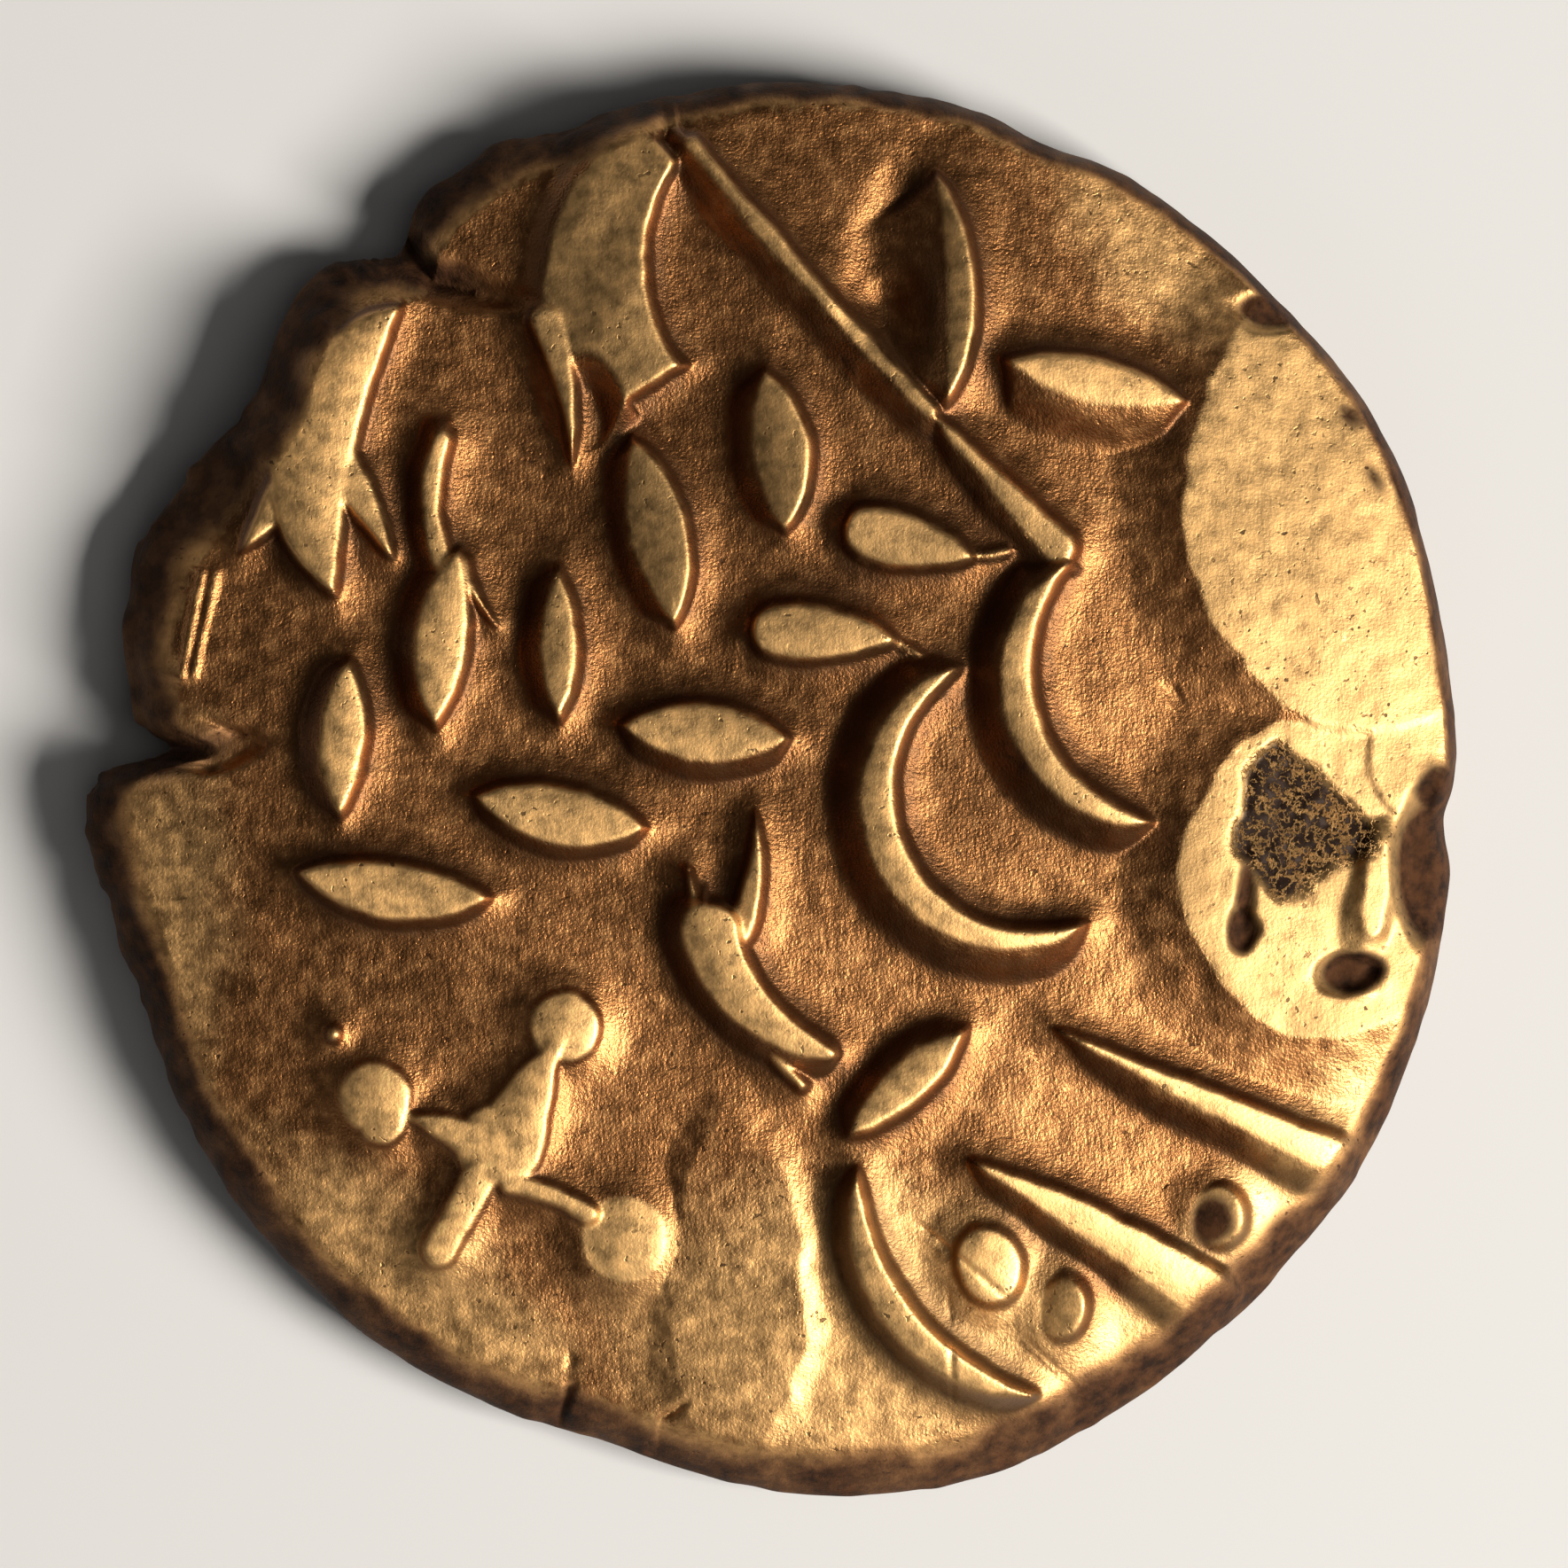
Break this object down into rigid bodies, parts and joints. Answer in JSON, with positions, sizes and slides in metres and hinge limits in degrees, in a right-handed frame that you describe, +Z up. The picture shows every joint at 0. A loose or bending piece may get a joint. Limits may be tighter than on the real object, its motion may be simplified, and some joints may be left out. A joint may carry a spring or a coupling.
{
  "type": "gold coin",
  "caption": "Ancient hammered gold coin, domed and uneven, with a raised wreath of leaves, crescents, bars and pellets; lies flat on a table or in a tray.",
  "frame": {"origin": "middle of the coin's footprint, on the surface it lies on", "axes": "+Z up out of the relief face, +Y towards the top of the design, +X to its right"},
  "size_m": [0.0176, 0.0182, 0.0029],
  "materials": {
    "gold": "worn, satin"
  },
  "bodies": {
    "root": {"coin": "gold"}
  },
  "joints": []
}
